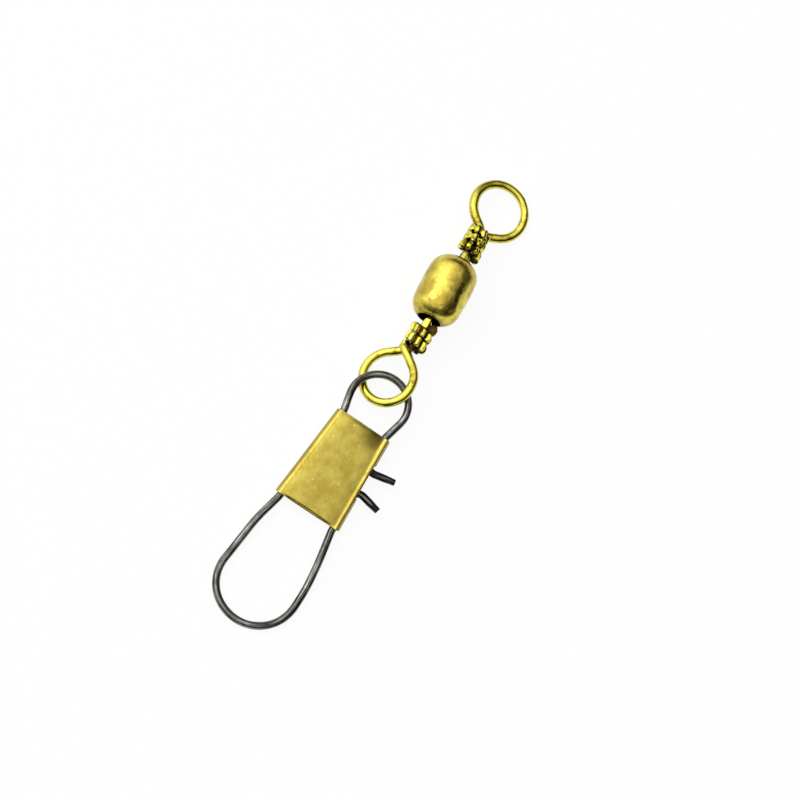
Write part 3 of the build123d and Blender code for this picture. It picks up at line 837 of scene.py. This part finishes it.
def make_barrel(place):
    half = barrel_profile()
    outline = half + [Vector((-p.x, p.y)) for p in reversed(half[1:-1])]
    count = len(outline)
    verts = []
    painted_shade = []
    for k in range(BARREL_SIDES):
        a = 2 * math.pi * k / BARREL_SIDES
        out = Vector((0.0, math.cos(a), math.sin(a)))
        for i, p in enumerate(outline):
            v = Vector((p.x, p.y * math.cos(a), p.y * math.sin(a)))
            v += out * (DENT * noise.noise(v * DENT_FINENESS) + RIPPLE * noise.noise(v * RIPPLE_FINENESS))
            verts.append(v)
            # painted shade: the bore and the hole's rim fully dark, and a patchy darkening on the shoulders
            # round each hole
            near_end = smooth_step(BARREL_L / 2 - 0.75, BARREL_L / 2 - 0.1, abs(p.x))
            near_hole = smooth_step(1.75, 1.15, p.y) * near_end
            patchiness = 0.35 + 0.5 * smooth_step(-0.3, 0.4, noise.noise(v * 1.2))
            inside = min(i, count - i) <= RIM_END
            painted_shade.append(1.0 if inside else min(1.0, near_hole * patchiness))
    faces = []
    for k in range(BARREL_SIDES):
        here = k * count
        after = (k + 1) % BARREL_SIDES * count
        for i in range(count):
            j = (i + 1) % count
            faces.append((here + i, here + j, after + j, after + i))
    make_object(
        "barrel", verts, faces, place, "barrel", "barrel",
        BARREL_BRASS, BARREL_SHARP, painted_shade,
    )


make_barrel(barrel_frame())


# ---- ground and light ----

GROUND_GREY = 0.90
GROUND_GLOW = 0.92                      # share of plain white in the ground, seen directly or in a reflection
SKY_WAY = Vector((0.0, 0.35, 0.94))
BRIGHT_WAY = Vector((0.0, 0.6, 0.8)).normalized()
END_WAY = Vector((1.0, 0.0, 0.0))
KEY_WAY = Vector((0.10, 0.62, 0.78)).normalized()
KEY_FAR = 0.6
KEY_SIZE = 0.30
KEY_POWER = 0.62

bpy.ops.mesh.primitive_plane_add(size=4, location=(0, 0, 0))
floor = bpy.context.object
floor.name = "floor"


def floor_material():
    """A pale ground that goes to white where it is seen, and keeps a little of the shadow on it."""
    m = bpy.data.materials.new("floor")
    m.use_nodes = True
    tree = m.node_tree
    shader = tree.nodes["Principled BSDF"]
    shader.inputs["Base Color"].default_value = (GROUND_GREY, GROUND_GREY, GROUND_GREY, 1)
    shader.inputs["Roughness"].default_value = 0.7
    shader.inputs["Specular IOR Level"].default_value = 0.2
    glow = tree.nodes.new("ShaderNodeEmission")
    glow.inputs["Strength"].default_value = 1.0
    rays = tree.nodes.new("ShaderNodeLightPath")
    seen = rays.outputs["Is Camera Ray"]
    for kind in ("Is Glossy Ray", "Is Transmission Ray"):
        either = tree.nodes.new("ShaderNodeMath")
        either.operation = "MAXIMUM"
        tree.links.new(seen, either.inputs[0])
        tree.links.new(rays.outputs[kind], either.inputs[1])
        seen = either.outputs[0]
    share = tree.nodes.new("ShaderNodeMath")
    share.operation = "MULTIPLY"
    share.inputs[1].default_value = GROUND_GLOW
    mix = tree.nodes.new("ShaderNodeMixShader")
    tree.links.new(seen, share.inputs[0])
    tree.links.new(share.outputs[0], mix.inputs["Fac"])
    tree.links.new(shader.outputs[0], mix.inputs[1])
    tree.links.new(glow.outputs[0], mix.inputs[2])
    tree.links.new(mix.outputs[0], tree.nodes["Material Output"].inputs["Surface"])
    return m


floor.data.materials.append(floor_material())


def make_world():
    """A room lit from one half of its ceiling, dark at the horizon and toward both ends of the swivel."""
    world = bpy.data.worlds.new("World")
    bpy.context.scene.world = world
    world.use_nodes = True
    tree = world.node_tree
    where = tree.nodes.new("ShaderNodeTexCoord").outputs["Generated"]

    def toward(way):
        n = tree.nodes.new("ShaderNodeVectorMath")
        n.operation = "DOT_PRODUCT"
        n.inputs[1].default_value = way
        tree.links.new(where, n.inputs[0])
        return n.outputs["Value"]

    def step(value, low, high, a, b):
        n = tree.nodes.new("ShaderNodeMapRange")
        n.interpolation_type = "SMOOTHSTEP"
        for key, number in (("From Min", low), ("From Max", high), ("To Min", a), ("To Max", b)):
            n.inputs[key].default_value = number
        tree.links.new(value, n.inputs["Value"])
        return n.outputs["Result"]

    def product(a, b):
        n = tree.nodes.new("ShaderNodeMath")
        n.operation = "MULTIPLY"
        tree.links.new(a, n.inputs[0])
        tree.links.new(b, n.inputs[1])
        return n.outputs["Value"]

    sky = step(toward(SKY_WAY), 0.02, 0.44, 0.06, 1.0)
    side = step(toward(BRIGHT_WAY), 0.0, 1.0, 0.10, 1.75)
    endwise = toward(END_WAY)
    ends = step(product(endwise, endwise), 0.25, 0.70, 1.0, 0.22)
    background = tree.nodes["Background"]
    tree.links.new(product(product(sky, side), ends), background.inputs["Strength"])
    background.inputs["Color"].default_value = (1.0, 1.0, 1.0, 1.0)


make_world()


def make_lamp():
    """One small soft lamp above the bright side."""
    data = bpy.data.lights.new("key", "AREA")
    data.shape = "DISK"
    data.size = KEY_SIZE
    data.energy = KEY_POWER
    lamp = bpy.data.objects.new("key", data)
    bpy.context.scene.collection.objects.link(lamp)
    turn = KEY_WAY.to_track_quat("Z", "Y").to_matrix().to_4x4()
    lamp.matrix_world = Matrix.Translation(KEY_WAY * KEY_FAR) @ turn


make_lamp()

bpy.context.scene.view_settings.view_transform = "Standard"
